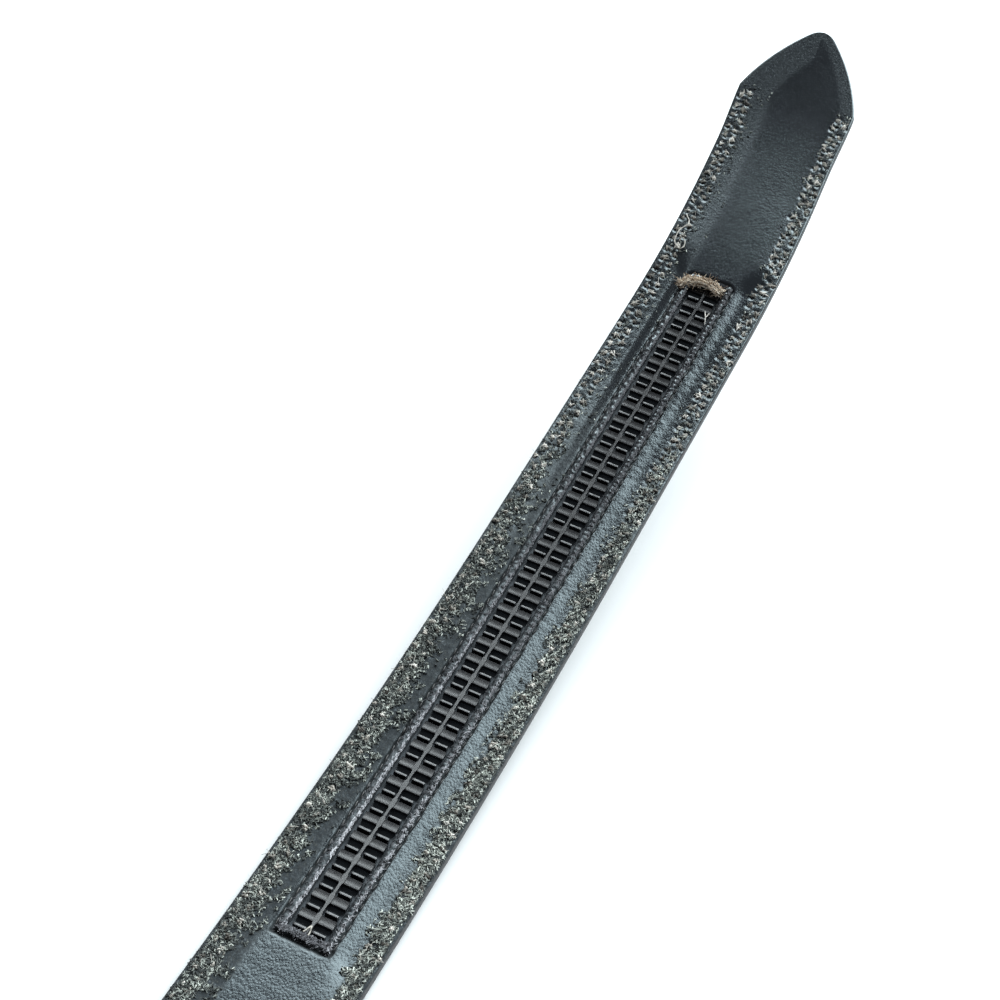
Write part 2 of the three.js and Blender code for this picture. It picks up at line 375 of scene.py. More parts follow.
# %% Heap of lofts
class Heap:
    """Points in strap measures with their faces, joined into one mesh at the end."""

    def __init__(self):
        self.points = []
        self.faces = []
        self.shades = []
        self.count = 0

    def lofts(self, rings, shades):
        """Adds closed bodies through rings (bodies, m, n, 3), counter-clockwise from the far end."""
        bodies, lengths, around = rings.shape[:3]
        index = self.count + np.arange(bodies * lengths * around).reshape(bodies, lengths, around)
        near, far = index[:, :-1], index[:, 1:]
        sides = np.stack([near, np.roll(near, -1, 2), np.roll(far, -1, 2), far], -1)
        self.faces += sides.reshape(-1, 4).tolist()
        self.faces += index[:, 0, ::-1].tolist() + index[:, -1].tolist()
        self.points.append(rings.reshape(-1, 3))
        self.shades.append(np.repeat(shades, lengths * around))
        self.count += index.size

    def loft(self, rings, shade=0.5):
        """Adds one closed body through rings (m, n, 3)."""
        self.lofts(rings[None], [shade])

    def tube(self, path, radius, sides, shade):
        """Adds a round strand along a path (n, 3), with one radius or a radius at each point."""
        self.loft(round_rings(path, radius, sides), shade)

    def fibres(self, paths, radius, shades):
        """Adds many thin strands at once: paths (n, m, 3), and a radius and a shade for each."""
        self.lofts(round_rings(paths, radius[:, None], 3), shades)

    def object(self, name, material, slot, replaced=(), sharp_angle=40):
        """The heap as one Blender object that rides on the belt."""
        points = np.concatenate(self.points)
        mesh = bpy.data.meshes.new(name)
        mesh.from_pydata(place(*points.T).tolist(), [], self.faces)
        kept = dict(zip(("along", "across", "up"), points.T), shade=np.concatenate(self.shades))
        return finish_piece(name, mesh, kept, material, slot, replaced, sharp_angle)


def unit(vectors):
    """Vectors at length 1, safe where a vector is nothing."""
    return vectors / (np.linalg.norm(vectors, axis=-1, keepdims=True) + 1e-12)


def round_rings(paths, radius, sides):
    """Rings of points round paths (..., m, 3)."""
    off_axis = (0.31, 0.17, 0.94)
    ahead = unit(np.gradient(paths, axis=-2))
    beside = unit(np.cross(ahead, off_axis))
    over = np.cross(ahead, beside)
    angle = (np.arange(sides) * 2 * math.pi / sides)[:, None]
    spoke = beside[..., None, :] * np.cos(angle) + over[..., None, :] * np.sin(angle)
    return paths[..., None, :] + spoke * np.asarray(radius)[..., None, None]


# %% Finished pieces
def finish_piece(name, mesh, kept, material, slot, replaced=(), sharp_angle=40):
    for key, values in kept.items():
        layer = mesh.attributes.new(key, "FLOAT", "POINT")
        layer.data.foreach_set("value", np.asarray(values, np.float32))
    mesh.shade_smooth()
    mesh.set_sharp_from_angle(angle=math.radians(sharp_angle))
    mesh.materials.append(material)
    piece = add_object(name, mesh)
    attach(piece, "root")
    if replaced:
        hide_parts(*replaced)
    triangles = sum(len(face.vertices) - 2 for face in mesh.polygons)
    print(name, "has", triangles, "triangles")
    return piece


# %% [markdown]
# ## The strap's outline
#
# The strap keeps one width, flares a little before its shoulders, and comes to a point in two arcs:
# a long shallow one and a small round one. half_width() gives that outline at any distance, and the
# mesh columns follow it, so the rows of the mesh close in on the point as a cutting die would.

# %% Outline of the tip
tip_length = 30.5 * mm
tip_flare = 0.7 * mm
flare_run = 25 * mm
point_radius = 5 * mm
shoulder_angle = math.radians(14)
point_angle = math.radians(36.5)
last_angle = math.pi / 2 - 0.06
firm_rim = 1.2 * mm
shoulder = strap_length - tip_length
shoulder_half = strap_half + tip_flare


def smooth(value, low, high):
    """0 below low, 1 above high, and smooth between them."""
    share = np.clip((value - low) / (high - low), 0, 1)
    return share * share * (3 - 2 * share)


def tip_outline(side_steps=16, point_steps=14):
    """Rows of (distance along, half width) from the shoulder to the end of the point."""
    narrowing = shoulder_half - point_radius * math.cos(point_angle)
    side_radius = narrowing / (math.cos(shoulder_angle) - math.cos(point_angle))
    side_run = side_radius * (math.sin(point_angle) - math.sin(shoulder_angle))
    scale = tip_length / (side_run + point_radius * (1 - math.sin(point_angle)))
    side = np.linspace(shoulder_angle, point_angle, side_steps)
    point = np.linspace(point_angle, last_angle, point_steps)[1:]
    along = np.concatenate([
        side_radius * (np.sin(side) - math.sin(shoulder_angle)),
        side_run + point_radius * (np.sin(point) - math.sin(point_angle)),
    ])
    half = np.concatenate([
        shoulder_half - side_radius * (math.cos(shoulder_angle) - np.cos(side)),
        point_radius * np.cos(point),
    ])
    return shoulder + scale * along, half


tip_along, tip_half = tip_outline()
print("the point is", round(2 * tip_half[-1] / mm, 1), "mm wide at its last station")


def half_width(along):
    """Half the strap's width at a distance along it."""
    flared = strap_half + tip_flare * smooth(along, shoulder - flare_run, shoulder)
    return np.where(along <= shoulder, flared, np.interp(along, tip_along, tip_half))


def narrowed(along, column):
    """Where a mesh column lies across the strap: edge details keep their size, the rest shrinks."""
    half = half_width(along)
    rim = np.minimum(firm_rim, half * 0.4)
    inner = strap_half - firm_rim
    middle_part = np.clip(column, -inner, inner)
    return middle_part / inner * (half - rim) + (column - middle_part) * rim / firm_rim


# %% [markdown]
# ## The window and the raised middle
#
# The track lies between the two leathers, so the lining rides up over it in a low ridge. Round the
# window the cut edge is turned up and pinched by a line of stitching: a soft lip first, then a tight
# groove, then the slope of the ridge. These are real shapes, so they go into the mesh and not only
# into a bump map. Each is drawn as a share between 0 and 1 that any later cell can ask for.

# %% Sizes of the window and the track
tooth_count = 39
tooth_pitch = 6.1 * mm
last_tooth = strap_length - 119.4 * mm
first_tooth = last_tooth - (tooth_count - 1) * tooth_pitch
track_middle = -0.35 * mm
window_half = 4.85 * mm
window_start = first_tooth - 1.45 * mm
window_end = last_tooth + 6.8 * mm
track_bottom = 1.7 * mm
track_floor = 2.5 * mm
print("the window runs from", round(window_start / mm, 1), "to", round(window_end / mm, 1), "mm")

# %% Ridge over the track
ridge_height = 1.0 * mm
ridge_half = 6.7 * mm
ridge_flank = 4.6 * mm
ridge_lead = 4.6 * mm
ridge_run = 55 * mm
ridge_fade = 76 * mm
flank_spread = 6 * mm
near_spread_run = 12 * mm
far_spread_run = 14 * mm


def ridge_share(along, across):
    """How far the lining rides up over the track, from 0 to 1."""
    rising_ends = window_start - ridge_lead
    falling_starts = window_end + ridge_lead
    lengthways = smooth(along, rising_ends - ridge_run, rising_ends)
    lengthways = lengthways * (1 - smooth(along, falling_starts, falling_starts + ridge_fade))
    outside = smooth(along, window_end, window_end + far_spread_run)
    outside = outside + smooth(-along, -window_start, near_spread_run - window_start)
    flank_end = ridge_half + ridge_flank + flank_spread * outside
    return lengthways * (1 - smooth(np.abs(across - track_middle), ridge_half, flank_end))


print("the ridge is gone", round((window_end + ridge_lead + ridge_fade) / mm), "mm along the strap")

# %% [markdown]
# ## Lumps by value noise
#
# Hand-finished leather is lumpy at every size. Value noise is random numbers on a grid with smooth
# steps between them, and a few layers of it, each with its own cell and depth, give such lumps. The
# numbers come from a sine of the grid place, so the same spot has the same height in every cell.


# %% Value noise
def value_noise(along, across, cell, seed):
    """Numbers between -1 and 1 that change smoothly over about one cell, in metres."""
    along, across = np.broadcast_arrays(along / cell, across / cell)
    column, row = np.floor(along).astype(int), np.floor(across).astype(int)
    u, v = smooth(along - column, 0, 1), smooth(across - row, 0, 1)

    def corner(i, j):
        mixed = np.sin((column + i) * 127.1 + (row + j) * 311.7 + seed * 74.7) * 43758.5453
        return 2 * (mixed - np.floor(mixed)) - 1

    near = corner(0, 0) * (1 - v) + corner(0, 1) * v
    far = corner(1, 0) * (1 - v) + corner(1, 1) * v
    return near * (1 - u) + far * u


def lumps(along, across, layers):
    """The sum of some layers of noise, whose cells and depths are in millimetres."""
    return sum(
        row["depth"] * mm * value_noise(along, across, row["cell"] * mm, row["seed"])
        for row in layers)


sampled = value_noise(np.linspace(0, 1, 2000), 0.0, 5 * mm, 1)
print("a line of value noise runs from", round(sampled.min(), 2), "to", round(sampled.max(), 2))


# %% Lip and groove
lip_width = 1.95 * mm
lip_soft = 0.5 * mm
near_lip = 2.6 * mm
groove_depth = 0.55 * mm
groove_width = 0.3 * mm
groove_inset = 0.15 * mm
groove_wander = table("cell depth seed", (2.4, 0.16, 5))
near_wander = table("cell depth seed", (1.3, 0.2, 8))


def window_reach(along, across):
    """Distance outward from the cut edge, squeezed at the near end so that its corners are sharp."""
    before = np.maximum(window_start - along, 0) * lip_width / near_lip
    after = np.maximum(along - window_end, 0)
    beside = np.maximum(np.abs(across - track_middle) - window_half, 0)
    return np.where(before > 0, np.maximum(before, beside), np.hypot(after, beside))


def lip_share(along, across):
    """1 on the lip round the window, 0 elsewhere."""
    return 1 - smooth(window_reach(along, across), lip_width - lip_soft, lip_width)


def groove_share(along, across, spread=1.0):
    """1 in the stitched groove round the lip, 0 elsewhere: wider and more ragged at the near end."""
    near_end = along < window_start
    wander = lumps(along, across, groove_wander) + near_end * lumps(along, across, near_wander)
    width = np.where(near_end, 1.5, 1.0) * groove_width * spread
    off_line = window_reach(along, across) - lip_width - groove_inset + wander
    return np.exp(-((off_line / width) ** 4))


print("the lip is", round(lip_width / mm, 2), "mm wide, and", round(near_lip / mm, 2), "at its near end")

# %% [markdown]
# ## Stitched bands and lint
#
# Along each edge the needle has roughened a band of the lining, and wear has left lint on it. On
# the photographed side of the belt the lint reaches further in from the left edge than from the
# right one, and it thins out towards the tip.

# %% Bands along the edges
edge_band = 5.6 * mm
band_soft = 1.2 * mm
band_ends = (shoulder - 4 * mm, shoulder + 2 * mm)
lint_reach = {1: 12 * mm, -1: 6 * mm}
lint_soft = 2.5 * mm
lint_widens = (820 * mm, 870 * mm)
lint_thins = (880 * mm, 1010 * mm)


def band_share(along, across):
    """1 in the stitched band along each edge, 0 elsewhere."""
    inset = half_width(along) - np.abs(across)
    return (1 - smooth(inset, edge_band - band_soft, edge_band)) * (1 - smooth(along, *band_ends))


def reach_inward(along, across, reach):
    """How far in lint lies, left (1) or right (-1): on the left it widens a little on the way."""
    widened = 0.9 + 0.1 * smooth(along, *lint_widens)
    return np.where(across > 0, widened * reach[1], reach[-1])


def lint_share(along, across):
    """1 where lint covers the lining, 0 elsewhere."""
    inset = half_width(along) - np.abs(across)
    reach = reach_inward(along, across, lint_reach)
    return (1 - smooth(inset, reach - lint_soft, reach)) * (1 - 0.9 * smooth(along, *lint_thins))


# %% Height of the lining
slow_lumps = table("cell depth seed", (9, 0.04, 1), (1.1, 0.022, 2))
lip_beads = table("cell depth seed", (0.65, 0.2, 3), (2.2, 0.12, 4))
band_lumps = table("cell depth seed", (0.9, 0.12, 6), (0.5, 0.07, 7))
lip_height = 0.25 * mm
bead_pitch = 1.55 * mm
bead_height = 0.1 * mm
cut_drop = 0.3 * mm
cut_round = 0.45 * mm
lumps_calm = (990 * mm, 1050 * mm)
band_calms = (900 * mm, 1010 * mm)


def lining_up(along, across):
    """Height of the lining's upper face above the strap's front face."""
    up = leather_top + ridge_height * ridge_share(along, across)
    up = up + (1 - 0.85 * smooth(along, *lumps_calm)) * lumps(along, across, slow_lumps)
    reach = window_reach(along, across)
    swell = lip_height * np.sin(np.clip(reach / lip_width, 0, 1) * math.pi)
    beads = bead_height * np.sin(along * 2 * math.pi / bead_pitch) * (across < 0)
    beads = beads + lumps(along, across, lip_beads)
    up = up + lip_share(along, across) * (swell + beads)
    matted = np.maximum(band_share(along, across), 0.6 * lint_share(along, across))
    calm = 1 - 0.95 * smooth(along, *band_calms)
    up = up + matted * calm * lumps(along, across, band_lumps)
    up = up - cut_drop * (1 - smooth(reach, 0, cut_round))
    return up - groove_depth * groove_share(along, across)


middle_height = lining_up(np.array([900 * mm]), np.array([8 * mm]))[0]
print("beside the window the lining is", round(middle_height / mm, 2), "mm up")


# %% [markdown]
# ## Where the edge stitches go
#
# Two rows of stitches run along each edge of the strap, as far as the shoulders. On the back of
# the work the thread is slack and the needle has pulled the leather down into small dents, so the
# places of the stitches are drawn first: the lining is dented there, and the thread is laid later.

# %% Stitch places
stitch_pitch = 4.25 * mm
stitch_start = 22 * mm
stitch_row_kinds = table(
    "inset slant lag",
    (1.75 * mm, -16, 0),
    (4.15 * mm, 24, 0.5),
)


def stitch_places(side):
    """Rows of (along, across, angle, size) for one side of the strap: +1 left, -1 right."""
    rows = []
    count = int((shoulder - stitch_start) / stitch_pitch)
    for kind in stitch_row_kinds:
        along = stitch_start + (np.arange(count) + kind["lag"]) * stitch_pitch
        along = along + chance.normal(0, 0.35, count) * mm
        across = side * (half_width(along) - kind["inset"] + chance.normal(0, 0.22, count) * mm)
        angle = side * np.radians(chance.normal(kind["slant"], 20, count))
        size = chance.uniform(0.75, 1.2, count)
        rows.append(np.stack([along, across, angle, size], -1))
    return np.concatenate(rows)


edge_stitches = {side: stitch_places(side) for side in (1, -1)}
print("edge stitches:", sum(len(rows) for rows in edge_stitches.values()))

# %% [markdown]
# ## The lining leather
#
# The lining is a closed shell: a fine grid for its upper face, a coarse one below, walls round the
# outside and round the window. The grid is drawn in strap measures, finest at the lip, and wide
# where the strap is only seen from afar. Nothing is subtracted: the cells inside the window are
# simply left out, and walls are added along that border.

# %% Grid of the lining
visible_start = 744 * mm
rounded_edge = 0.5 * mm
fine_border = 3.0 * mm
point_start = tip_along[-12]


def spaced(*marks):
    """Stations between marks: each is (start, end, step)."""
    runs = [
        np.linspace(start, end, max(1, round((end - start) / step)) + 1)
        for start, end, step in marks]
    return np.unique(np.round(np.concatenate(runs), 7))


def lining_columns():
    """Columns of the mesh on the strap's right half and left half, finest at the lip."""
    halves = []
    for side in (-1, 1):
        edge = window_half + side * track_middle
        halves.append(np.concatenate([
            np.linspace(edge, edge + fine_border, 13),
            np.linspace(edge + fine_border + 0.4 * mm, strap_half - 0.7 * mm, 22),
            strap_half - np.array([0.5, 0.3, 0.14, 0.04, 0.0]) * mm,
        ]))
    middle = track_middle + np.linspace(-window_half, window_half, 13)[1:-1]
    return np.concatenate([-halves[0][::-1], middle, halves[1]])


stations = spaced(
    (0, visible_start, 4 * mm),
    (visible_start, window_start, 0.5 * mm),
    (window_start, window_end, 0.45 * mm),
    (window_end, shoulder, 0.5 * mm),
    (shoulder, point_start, 0.6 * mm),
    (point_start, tip_along[-1], 0.25 * mm),
)
columns = lining_columns()
offsets = np.array([window_half, ridge_half, ridge_half + ridge_flank])
under_columns = np.array([
    -strap_half, *(track_middle - offsets[::-1]), *(track_middle + offsets), strap_half])
print("the lining's grid has", len(stations), "by", len(columns), "points above")

# %% Dents and the rounded rim
stitch_half = 1.0 * mm
dent_radius = 0.45 * mm
dent_reach = 1.5 * mm
dent_depth = 0.35 * mm


def edge_drop(columns):
    """How far the strap's upper rim falls, rounded off, at each column."""
    inset = np.clip(rounded_edge - (strap_half - np.abs(columns)), 0, rounded_edge)
    return rounded_edge - np.sqrt(np.maximum(rounded_edge**2 - inset**2, 0))


def dents(along, across, places):
    """How deep each point of the grid lies in a dent beside a stitch, from 0 to about 1."""
    depth = np.zeros(along.shape)
    for at, over, angle, size in places:
        for end in (-stitch_half, stitch_half):
            x = at + end * size * math.cos(angle)
            y = over + end * size * math.sin(angle)
            low, high = np.searchsorted(stations, [x - dent_reach, x + dent_reach])
            if high - low >= 3:
                far = (along[low:high] - x) ** 2 + (across[low:high] - y) ** 2
                depth[low:high] += np.exp(-far / dent_radius**2)
    return depth


# %% Points of the lining
def lining_points():
    """The upper and the lower grid as (along, across, up), and the dents of the upper one."""
    along = np.repeat(stations[:, None], len(columns), 1)
    across = narrowed(along, columns[None])
    pits = sum(dents(along, across, places) for places in edge_stitches.values())
    up = lining_up(along, across) - dent_depth * pits - edge_drop(columns)[None]
    under_along = np.repeat(stations[:, None], len(under_columns), 1)
    under_across = narrowed(under_along, under_columns[None])
    under_up = track_bottom + ridge_height * ridge_share(under_along, under_across)
    return (along, across, up), (under_along, under_across, under_up), pits


# %% Faces of the lining
point_slack = 1e-7


def quads(index, opened, flip):
    """A grid's cells as faces, apart from the opened ones."""
    a, b, c, d = index[:-1, :-1], index[1:, :-1], index[1:, 1:], index[:-1, 1:]
    return np.stack([a, d, c, b] if flip else [a, b, c, d], -1)[~opened].tolist()


def wall(upper, lower, flip):
    """Faces between two lines of points, one above the other."""
    cells = np.stack([upper[:-1], lower[:-1], lower[1:], upper[1:]], -1)
    return (cells[:, ::-1] if flip else cells).tolist()


def lining_faces():
    """Faces of both grids, without the window's cells, and of the walls round them."""
    top = np.arange(len(stations) * len(columns)).reshape(-1, len(columns))
    under = top.size + np.arange(len(stations) * len(under_columns)).reshape(len(stations), -1)
    first, last = np.searchsorted(stations, [window_start - point_slack, window_end - point_slack])
    left, right = (
        int(np.argmin(np.abs(columns - track_middle - edge))) for edge in (window_half, -window_half))
    open_top = np.zeros((len(stations) - 1, len(columns) - 1), bool)
    open_top[first:last, right:left] = True
    open_under = np.zeros((len(stations) - 1, len(under_columns) - 1), bool)
    open_under[first:last, 3] = True
    window = slice(first, last + 1)
    faces = quads(top, open_top, False) + quads(under, open_under, True)
    faces += wall(top[:, 0], under[:, 0], False) + wall(top[:, -1], under[:, -1], True)
    faces += wall(top[window, right], under[window, 3], True)
    faces += wall(top[window, left], under[window, 4], False)
    faces.append([*top[0], *under[0][::-1]])
    faces.append([*top[-1][::-1], *under[-1]])
    faces.append([*top[first, right:left + 1][::-1], under[first, 3], under[first, 4]])
    faces.append([*top[last, right:left + 1], under[last, 4], under[last, 3]])
    return faces


# %% Mesh of the lining
def lining_mesh():
    """The shell as a mesh, and the numbers that its finish reads at each vertex."""
    upper, lower, pits = lining_points()
    along, across, up = (np.concatenate([a.ravel(), b.ravel()]) for a, b in zip(upper, lower))
    dented = np.concatenate([pits.ravel(), np.zeros(lower[0].size)]) * 0.9
    mesh = bpy.data.meshes.new("lining_leather")
    mesh.from_pydata(place(along, across, up).tolist(), [], lining_faces())
    return mesh, {
        "along": along,
        "across": across,
        "up": up,
        "nap": lip_share(along, across) * ridge_share(along, across),
        # crease marks the groove and the stitch dents: painted shade and extra roughness go there.
        "crease": np.maximum(groove_share(along, across, 1.7), dented),
        "lint": lint_share(along, across),
    }


# %% [markdown]
# ## Finish of the lining
#
# Lining leather is printed with a pebbled grain and dyed black. Its grain is a few tenths of a
# millimetre across, so it is drawn as bump: small pebbles and fine pores, worn smoother towards the
# tip. Where the leather is cut and turned up at the window, the napped flesh side shows grey. Along
# the edges, pale lint clings to the surface and mats it, which takes its shine away in spots. The
# roughness changes with all of these, and that breaks the window light into many small glints.

# %% Lining finish
dye_black = (0.007, 0.008, 0.01)
dye_worn = (0.016, 0.018, 0.022)
nap_grey = (0.038, 0.037, 0.041)
lint_grey = (0.07, 0.072, 0.068)
# Painted shade: a near black laid in the stitched groove round the window and in the stitch dents, where
# shade falls.
crease_painted_shade = (0.006, 0.006, 0.007)
cool_shine = (0.8, 0.95, 1.0, 1)
near_grain = 860 * mm
far_grain = 1040 * mm
grain_depth = 0.075 * mm


def lining_finish():
    finish = Finish("pebbled_lining_leather", Specular_IOR_Level=0.5, Specular_Tint=cool_shine)
    grid = finish.strap_grid(stretch=1.4)
    pebble = finish.pebbles(0.55 * mm, grid, 0.3)
    pores = finish.noise(0.3 * mm, grid, 3.0, 0.65)
    slow = finish.noise(7 * mm, grid, 2.0)
    lint_spots = finish.noise(0.55 * mm, grid, 3.0, 0.7)
    nap, lint, crease = (finish.attribute(name) for name in ("nap", "lint", "crease"))
    fuzz = lint * lint_spots.step(0.5, 0.72)
    matted = lint * (0.22 + lint_spots.step(0.3, 0.55) * 0.45)
    afar = finish.attribute("along").step(near_grain, far_grain)
    rough = (nap * 0.4 + crease * 0.6) * (1 - afar * 0.75)
    cloth = finish.blend(slow, dye_black, dye_worn)
    napped = finish.blend(nap * lint_spots.step(0.4, 0.62), cloth, nap_grey)
    linted = finish.blend(fuzz, napped, lint_grey)
    grain = ((1 - pebble) * 0.6 + pores * 0.6) * (1 - afar * 0.64)
    roughness = 0.17 + pores * 0.05 - afar * 0.09 + matted + fuzz * 0.2 + rough
    # The groove and the dents are blended to near black, which is painted shade.
    return finish.coat(finish.blend(crease, linted, crease_painted_shade), roughness, grain, grain_depth)


finish_piece(
    "lining_leather", *lining_mesh(), lining_finish(), "lining_leather", ["back_lining"], 50)

# %% [markdown]
# ## The outer leather
#
# The other face of the strap is the one that is worn outward. It lies face down here, so only its
# edge and its underside can be seen, from low or from below. It is a plain loft: the same rounded
# section repeated at stations along the strap, narrowed towards the tip.

# %% Outer leather
outer_top = 1.6 * mm
section_step = 5 * mm
rolled_edge = 0.6 * mm
outer_black = (0.009, 0.009, 0.011)
outer_worn = (0.016, 0.016, 0.018)


def outer_section():
    """Points round the section, (across, up), counter-clockwise seen from the tip's side."""
    corner = np.linspace(0, math.pi / 2, 5)
    low_left = rolled_edge * np.stack([np.cos(corner) - 1, 1 - np.sin(corner)], -1) + (strap_half, 0)
    across = np.linspace(strap_half - 3 * mm, 3 * mm - strap_half, 9)
    low_middle = np.stack([across, 0 * across], -1)
    low_right = low_left[::-1] * (-1, 1)
    top = np.array([[-strap_half, outer_top], [strap_half, outer_top]])
    return np.concatenate([low_left, low_middle, low_right, top])


def outer_leather():
    flare_start = shoulder - flare_run
    straight = spaced((0, flare_start, section_step), (flare_start, shoulder, 2 * mm))
    at = np.unique(np.concatenate([straight, tip_along]))[:, None]
    section = outer_section()
    across = narrowed(at, section[None, :, 0])
    heap = Heap()
    heap.loft(np.stack(np.broadcast_arrays(at, across, section[:, 1]), -1))
    return heap


def outer_finish():
    finish = Finish("smooth_outer_leather", Specular_IOR_Level=0.5, Coat_Weight=0.2, Coat_Roughness=0.3)
    grid = finish.strap_grid(stretch=1.2)
    crackle = finish.pebbles(0.9 * mm, grid, 0.2)
    pores = finish.noise(0.3 * mm, grid, 3.0)
    slow = finish.noise(12 * mm, grid)
    grain = (1 - crackle) * 0.6 + pores * 0.4
    colour = finish.blend(slow, outer_black, outer_worn)
    return finish.coat(colour, 0.34 + pores * 0.14, grain, 0.03 * mm)


outer_leather().object("outer_leather", outer_finish(), "outer_leather", ["front_leather"], 60)

# %% [markdown]
# ## Edge paint
#
# The two leathers are glued and their cut edges sealed with a rubbery black paint. It bulges a
# little between the layers and hides the joint. One loft follows the outline up the left side,
# round the point and back down the right side.

# %% Edge paint
paint_low = 0.28 * mm
paint_high = 2.9 * mm
paint_bulge = 0.14 * mm
paint_depth = 0.5 * mm
paint_black = (0.011, 0.011, 0.013)
paint_rubbed = (0.026, 0.024, 0.024)


def outline_path():
    """(along, across) down the left side from the buckle, round the point, and back on the right."""
    along = np.unique(np.concatenate([spaced((0, shoulder, 3 * mm)), tip_along]))
    left = np.stack([along, half_width(along)], -1)
    return np.concatenate([left, left[::-1] * (1, -1)])


def edge_paint():
    path = outline_path()
    ahead = unit(np.gradient(path, axis=0))
    outward = np.stack([-ahead[:, 1], ahead[:, 0]], -1)
    angle = np.linspace(-math.pi / 2, math.pi / 2, 9)
    middle, reach = (paint_low + paint_high) / 2, (paint_high - paint_low) / 2
    out = np.concatenate([paint_bulge * np.cos(angle), [-paint_depth, -paint_depth]])
    up = np.concatenate([middle + reach * np.sin(angle), [paint_high, paint_low]])
    rings = np.concatenate([
        path[:, None] + outward[:, None] * out[None, :, None],
        np.broadcast_to(up[None, :, None], (len(path), len(up), 1)),
    ], -1)
    heap = Heap()
    heap.loft(rings[:, ::-1])
    return heap


def paint_finish():
    finish = Finish("black_edge_paint", Specular_IOR_Level=0.5)
    grid = finish.strap_grid(stretch=3.0)
    ripple = finish.noise(0.5 * mm, grid, 3.0, 0.6)
    slow = finish.noise(5 * mm, grid)
    colour = finish.blend(slow, paint_black, paint_rubbed)
    return finish.coat(colour, 0.42 + ripple * 0.25, ripple, 0.06 * mm)


edge_paint().object("edge_paint", paint_finish(), "outer_leather")

# %% [markdown]
# ## The toothed track
#
# The track is one injection moulding. Each pitch holds a cross land, a slot, and a wedge tooth in
# each of two columns, and a rib runs down the middle. What makes moulded plastic look real is its
# edges: a mould cannot cut a perfectly sharp corner, so the crest of each tooth is rounded and
# catches a bright line, and the lands dish slightly where the plastic shrank as it cooled.

# %% Sizes of teeth, lands and rib
row_half = 4.2 * mm
base_half = 6.3 * mm
base_beyond = 4 * mm
column_centre = 2.3 * mm
tooth_half = 1.55 * mm
crest_half = 0.35 * mm
crest_fall = 0.03 * mm
tooth_height = 1.3 * mm
tooth_slope = 0.45 * mm
pocket_length = 2.4 * mm
pocket_floor = 2.05 * mm
land_length = 2.35 * mm
land_height = 0.8 * mm
rib_height = 1.1 * mm
rib_half = 0.36 * mm
rib_inset = 0.65 * mm
gusset_half = 0.62 * mm
soft_corner = 0.1 * mm
land_start = crest_half + pocket_length
foot = pocket_floor - 0.1 * mm
print(tooth_count, "teeth stand", round((track_floor + tooth_height - pocket_floor) / mm, 2), "mm high")


# %% Side views of a tooth and a land
def wedge_profile():
    """The side of a tooth, (along, up): upright towards the buckle, sloped towards the tip."""
    crest = track_floor + tooth_height
    turn = np.linspace(math.pi, math.pi * 0.45, 5)
    nose = soft_corner * np.stack([1 + np.cos(turn), np.sin(turn) - 1], -1) + (-crest_half, crest)
    slope = np.array([
        [crest_half - 0.06 * mm, crest - crest_fall],
        [crest_half + 0.02 * mm, crest - crest_fall - 0.1 * mm],
        [crest_half + tooth_slope, foot],
        [-crest_half, foot],
    ])
    return np.concatenate([nose, slope])


land_shape = table(
    "share drop",
    (0.0, 0.06),
    (0.03, 0.01),
    (0.1, 0.0),
    (0.3, 0.012),
    (0.5, 0.014),
    (0.7, 0.0),
    (0.88, -0.03),
    (0.97, -0.045),
    (1.0, 0.01),
)


def land_profile():
    """The side of a land, (along, up): rounded at its near edge and dished towards the far one."""
    top = track_floor + land_height
    dished = [[land_start + row["share"] * land_length, top - row["drop"] * mm] for row in land_shape]
    return np.array([*dished, [land_start + land_length, foot], [land_start, foot]])


# %% Bars and strips
def add_bar(heap, profile, along, centre, half):
    """A profile carried across the strap, with its two ends slightly drawn in."""
    middle = profile.mean(0)
    rings = []
    full = half - soft_corner
    for across, scale in ((-half, 0.9), (-full, 1.0), (full, 1.0), (half, 0.9)):
        drawn = middle + (profile - middle) * (1, scale)
        rings.append(np.insert(drawn + (along, 0), 1, centre + across, axis=1))
    heap.loft(np.array(rings))


def add_strip(heap, stations, half, low, high, soft, centre=track_middle):
    """A straight bar along the strap whose half width may change, with soft upper corners."""
    half = np.broadcast_to(half, stations.shape)[:, None]
    across = centre + np.concatenate([half, half, half - soft, soft - half, -half, -half], 1)
    up = np.array([low, high - soft, high, high, high - soft, low])
    heap.loft(np.stack(np.broadcast_arrays(stations[:, None], across, up), -1))


def rib_half_at(along):
    """The rib is wider where a land meets it."""
    phase = (along - first_tooth) / tooth_pitch
    within = (phase - np.floor(phase)) * tooth_pitch
    land_end = land_start + land_length
    near = smooth(within, land_start - 0.7 * mm, land_start + 0.1 * mm)
    far = 1 - smooth(within, land_end - 0.2 * mm, land_end + 0.3 * mm)
    return rib_half + (gusset_half - rib_half) * near * far


# %% Toothed track
def toothed_track():
    heap = Heap()
    base = spaced((window_start - base_beyond, window_end + base_beyond, 5 * mm))
    add_strip(heap, base, base_half, track_bottom, pocket_floor, soft_corner)
    rail_half = (base_half - window_half) / 2
    for side in (-1, 1):
        middle = track_middle + side * (window_half + rail_half)
        add_strip(heap, base, rail_half, track_bottom + soft_corner, track_floor, soft_corner, middle)
    rib = spaced((window_start + rib_inset, window_end - rib_inset, 0.4 * mm))
    add_strip(heap, rib, rib_half_at(rib), foot, track_floor + rib_height, 0.06 * mm)
    wedge, land = wedge_profile(), land_profile()
    for along in first_tooth + np.arange(tooth_count) * tooth_pitch:
        add_bar(heap, land, along, track_middle, row_half)
        for side in (-1, 1):
            add_bar(heap, wedge, along, track_middle + side * column_centre, tooth_half)
    return heap
